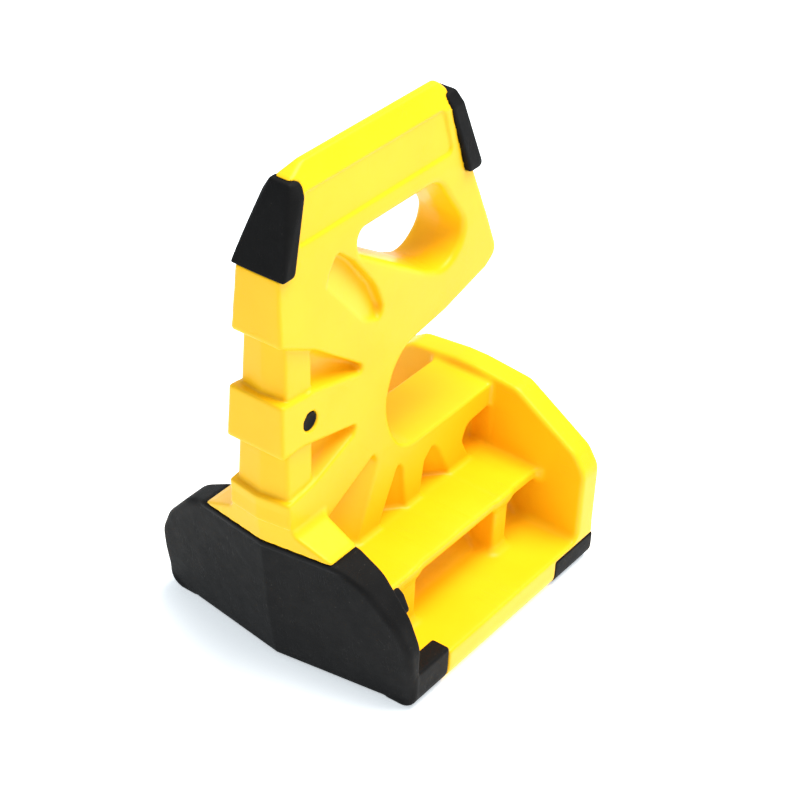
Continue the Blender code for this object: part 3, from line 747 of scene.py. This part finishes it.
def yellow_plastic():
    """Satin safety-yellow moulding: even colour with faint flow marks, painted shade that makes it deeper
    orange in corners and grooves, a painted highlight that makes outer edges lighter, scuffs that
    make those edges rougher, over a very fine mould grain."""
    paint = Paint("body_plastic")
    where = paint.places()
    edge = edges(paint)
    # outer: mask of outer edges, used for a painted highlight in the colour and for scuffs in roughness
    # and bump
    outer = paint.band(edge, 0.10, 0.55)
    # corner: mask of corners and grooves, where the edge attribute is negative; it only carries painted
    # shade
    corner = 1 - paint.band(edge, -0.6, -0.05)
    cloud = paint.noise(where, 22.0, 3.0)
    stretched = paint.add("ShaderNodeMapping", None, {"Vector": where, "Scale": (1.0, 1.0, 0.18)})
    flow = paint.noise(stretched, 3.5, 4.0)
    colour = paint.mix(paint.band(cloud, 0.35, 0.7), (0.98, 0.53, 0.005, 1), (0.97, 0.56, 0.008, 1))
    colour = paint.mix(flow * 0.16, colour, (0.95, 0.46, 0.004, 1))
    # Painted shade: deeper, more orange colour in corners and grooves, standing in for shade and reflected
    # light there
    colour = paint.mix(corner * 0.55, colour, (0.93, 0.37, 0.003, 1))
    # Painted highlight: lighter yellow evenly along all outer edges, standing in for light caught by the
    # roundings
    colour = paint.mix(outer * 0.35, colour, (0.99, 0.60, 0.02, 1))
    marks = scratches(paint, where, (0.4, 0.2, 0.9), (1.0, 0.05, 1.0), 1.6, 0.012)
    marks = marks * paint.band(paint.noise(where, 14.0, 2.0), 0.52, 0.66)
    worn = paint.band(paint.noise(where, 2.2, 4.0, 0.6), 0.50, 0.62) * outer
    rough = 0.33 + 0.07 * paint.noise(where, 5.0, 3.0) + 0.12 * worn + 0.14 * marks
    grain = paint.noise(where, 0.35, 2.0)
    peel = paint.noise(where, 2.6, 2.0)
    height = 0.35 * grain + 0.65 * peel - 0.5 * marks - 0.4 * worn
    return paint.finish(Base_Color=colour, Roughness=rough, Normal=paint.bump(height, 0.00009, 0.7),
                        IOR=1.5, Specular_IOR_Level=0.20)


def black_rubber(name, tone, grain_size, dust):
    """Matte moulded rubber: a grained skin, paler scuffs on outer edges and a trace of dust."""
    paint = Paint(name)
    where = paint.places()
    edge = edges(paint)
    outer = paint.band(edge, 0.12, 0.6)
    cloud = paint.band(paint.noise(where, 9.0, 4.0, 0.6), 0.35, 0.7)
    dark = (tone, tone * 0.94, tone * 0.93, 1)
    pale = (tone * 2.0, tone * 1.85, tone * 1.8, 1)
    colour = paint.mix(cloud * 0.6, dark, pale)
    scuff = paint.band(paint.noise(where, 1.6, 5.0, 0.65), 0.52, 0.66) * outer
    colour = paint.mix(scuff * 0.5, colour, (0.030, 0.027, 0.025, 1))
    specks = paint.band(paint.noise(where, 0.9, 3.0, 0.7), 0.66, 0.74)
    colour = paint.mix(specks * dust, colour, (0.06, 0.054, 0.046, 1))
    marks = scratches(paint, where, (0.1, 0.5, 0.3), (1.0, 1.0, 0.07), 1.3, 0.014)
    marks = marks * paint.band(paint.noise(where, 8.0, 2.0), 0.5, 0.62)
    rough = 0.58 + 0.16 * paint.noise(where, 3.0, 4.0) + 0.08 * scuff - 0.10 * marks
    grain = paint.noise(where, grain_size, 4.0, 0.6)
    lumps = paint.noise(where, 3.2, 3.0)
    height = 0.6 * grain + 0.8 * lumps - 0.5 * marks
    return paint.finish(Base_Color=colour, Roughness=rough, Normal=paint.bump(height, 0.00012, 0.7),
                        IOR=1.48, Specular_IOR_Level=0.12)


# ---------------------------------------------------------------- pieces

def place(piece, node, material):
    """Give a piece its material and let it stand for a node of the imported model."""
    piece.data.materials.clear()
    piece.data.materials.append(material)
    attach(piece, "root")
    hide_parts(node)


def pieces():
    """The seven pieces. The finer the step of a moulding, the sharper its small roundings."""
    body = moulding("body_moulding", body_field, BODY_LOW, BODY_HIGH, step=0.52, most=190000)
    place(body, "wedge_body", yellow_plastic())
    shoe = moulding("shoe_skin", shoe_field, SHOE_LOW, SHOE_HIGH, step=0.4, most=150000)
    place(shoe, "front_shoe",
          black_rubber("shoe_rubber", tone=0.0042, grain_size=0.5, dust=0.5))
    pad_rubber = black_rubber("pad_rubber", tone=0.0036, grain_size=0.4, dust=0.25)
    for node, rear in (("handle_front_pad", False), ("handle_rear_pad", True)):
        low, high = span(node)
        pad = moulding(node + "_skin", pad_field(rear), low, high, step=0.25, most=90000)
        place(pad, node, pad_rubber)
    foot_rubber = black_rubber("foot_rubber", tone=0.0050, grain_size=0.5, dust=0.5)
    for node, side in (("rear_foot_left", 1), ("rear_foot_right", -1)):
        place(foot(node + "_skin", side), node, foot_rubber)
    place(plug("column_plug_skin"), "column_plug",
          black_rubber("plug_rubber", tone=0.0034, grain_size=0.3, dust=0.1))


# ---------------------------------------------------------------- stage, light and camera

AZIMUTH = math.radians(55.09)
ELEVATION = math.radians(34.59)
ROLL = math.radians(3.0)
AIM = (11.0, 0.0, 52.9)
DISTANCE = 573.5        # from the aim, in millimetres
LENS = 100.9            # focal length in millimetres, on a film 36 mm wide
FLOOR_HALF = 6.0        # metres


def stage():
    """Pale floor far larger than the object, with a little light of its own to stay near white."""
    mesh = bpy.data.meshes.new("floor")
    corners = [(FLOOR_HALF * u, FLOOR_HALF * v, 0) for u, v in ((-1, -1), (1, -1), (1, 1), (-1, 1))]
    mesh.from_pydata(corners, [], [(0, 1, 2, 3)])
    floor = bpy.data.objects.new("floor", mesh)
    bpy.context.scene.collection.objects.link(floor)
    paint = Paint("floor_paper")
    floor.data.materials.append(paint.finish(Base_Color=(0.93, 0.94, 0.95, 1), Roughness=0.9,
                                              Emission_Color=(0.92, 0.97, 1.0, 1), Emission_Strength=0.50))


def soft_light(name, spot, aim, size, power, colour):
    """Square softbox at a place, turned towards another."""
    light = bpy.data.lights.new(name, "AREA")
    light.energy = power
    light.size = size
    light.color = colour
    lamp = bpy.data.objects.new(name, light)
    bpy.context.scene.collection.objects.link(lamp)
    lamp.location = spot
    lamp.rotation_euler = (Vector(aim) - Vector(spot)).to_track_quat("-Z", "Y").to_euler()


def lights():
    """Pale even surroundings and one large soft light above. Colours are shown as they are."""
    scene = bpy.context.scene
    world = bpy.data.worlds.new("studio")
    scene.world = world
    world.use_nodes = True
    ground = world.node_tree.nodes["Background"]
    ground.inputs["Color"].default_value = (0.84, 0.93, 1.0, 1.0)
    ground.inputs["Strength"].default_value = 0.66
    soft_light("overhead", spot=(0.18, -0.18, 0.92), aim=(0.0, 0.0, 0.06), size=0.6, power=12.2,
               colour=(1.0, 0.98, 0.95))
    scene.view_settings.view_transform = "Standard"


def camera():
    """Camera on a sphere round the aim, turned a little about its own axis."""
    ahead = np.array([math.sin(AZIMUTH) * math.cos(ELEVATION), math.cos(AZIMUTH) * math.cos(ELEVATION),
                      -math.sin(ELEVATION)])
    level = np.array([math.cos(AZIMUTH), -math.sin(AZIMUTH), 0.0])
    above = np.cross(level, ahead)
    right = math.cos(ROLL) * level + math.sin(ROLL) * above
    up = -math.sin(ROLL) * level + math.cos(ROLL) * above
    spot = (np.array(AIM) - ahead * DISTANCE) * MM
    lens = bpy.data.cameras.new("camera")
    lens.lens = LENS
    lens.sensor_width = 36.0
    lens.clip_start = 0.01
    eye = bpy.data.objects.new("camera", lens)
    bpy.context.scene.collection.objects.link(eye)
    turn = Matrix.Identity(4)
    for i in range(3):
        turn[i][0], turn[i][1], turn[i][2], turn[i][3] = right[i], up[i], -ahead[i], spot[i]
    eye.matrix_world = turn
    bpy.context.scene.camera = eye


camera()
stage()
lights()
pieces()
bpy.context.view_layer.update()
